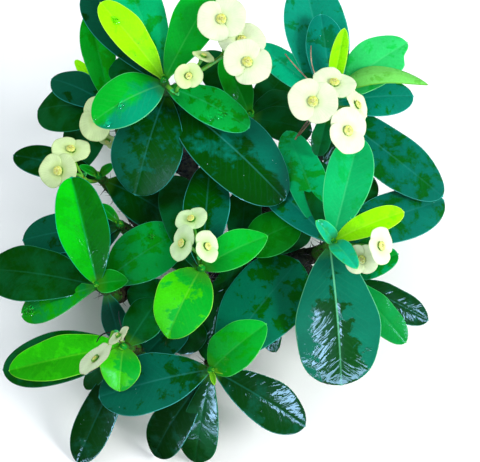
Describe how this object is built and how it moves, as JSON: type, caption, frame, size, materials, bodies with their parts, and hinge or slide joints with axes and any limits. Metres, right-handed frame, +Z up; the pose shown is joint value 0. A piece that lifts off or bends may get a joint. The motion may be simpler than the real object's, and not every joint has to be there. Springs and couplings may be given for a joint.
{
  "type": "crown of thorns plant",
  "caption": "Bushy crown of thorns cut at the ground: spiny woody stems, spoon-shaped leaves in rosettes, sprays of cream two-bracted flowers; rests on its cut stump.",
  "frame": {"origin": "middle of the flat cut face under the stump", "axes": "+Z up, out of the surface the plant rests on; -Y towards the side that the plant is seen from, +X to that view's right"},
  "size_m": [0.2646, 0.2516, 0.1542],
  "materials": {
    "mature_leaf": "satin",
    "young_leaf": "satin",
    "cream_bract": "satin",
    "flower_stalk": "satin",
    "woody_bark": "matte"
  },
  "bodies": {
    "root": {"back_left_young_leaves": "young_leaf", "back_left_mature_leaves": "mature_leaf", "back_right_young_leaves": "young_leaf", "back_right_mature_leaves": "mature_leaf", "back_low_young_leaves": "young_leaf", "back_low_mature_leaves": "mature_leaf", "far_left_young_leaves": "young_leaf", "far_left_mature_leaves": "mature_leaf", "left_back_young_leaves": "young_leaf", "left_back_mature_leaves": "mature_leaf", "left_front_young_leaves": "young_leaf", "left_front_mature_leaves": "mature_leaf", "left_low_young_leaves": "young_leaf", "left_low_mature_leaves": "mature_leaf", "front_left_young_leaves": "young_leaf", "front_left_mature_leaves": "mature_leaf", "front_left_low_young_leaves": "young_leaf", "front_left_low_mature_leaves": "mature_leaf", "middle_young_leaves": "young_leaf", "middle_mature_leaves": "mature_leaf", "front_young_leaves": "young_leaf", "front_mature_leaves": "mature_leaf", "right_young_leaves": "young_leaf", "right_mature_leaves": "mature_leaf", "right_low_young_leaves": "young_leaf", "right_low_mature_leaves": "mature_leaf", "middle_low_young_leaves": "young_leaf", "middle_low_mature_leaves": "mature_leaf", "back_left_small_bracts_1": "cream_bract", "back_left_small_bracts_2": "cream_bract", "back_left_small_flower_stalks": "flower_stalk", "back_left_large_bracts_1": "cream_bract", "back_left_large_bracts_2": "cream_bract", "back_left_large_bracts_3": "cream_bract", "back_left_large_flower_stalks": "flower_stalk", "back_right_bracts_1": "cream_bract", "back_right_bracts_2": "cream_bract", "back_right_bracts_3": "cream_bract", "back_right_bracts_4": "cream_bract", "back_right_flower_stalks": "flower_stalk", "right_bracts_1": "cream_bract", "right_bracts_2": "cream_bract", "right_flower_stalks": "flower_stalk", "middle_bracts_1": "cream_bract", "middle_bracts_2": "cream_bract", "middle_bracts_3": "cream_bract", "middle_flower_stalks": "flower_stalk", "left_back_bracts_1": "cream_bract", "left_back_bracts_2": "cream_bract", "left_back_flower_stalks": "flower_stalk", "far_left_bracts_1": "cream_bract", "far_left_bracts_2": "cream_bract", "far_left_flower_stalks": "flower_stalk", "front_left_bracts_1": "cream_bract", "front_left_bracts_2": "cream_bract", "front_left_flower_stalks": "flower_stalk", "woody_stem": "woody_bark"}
  },
  "joints": []
}
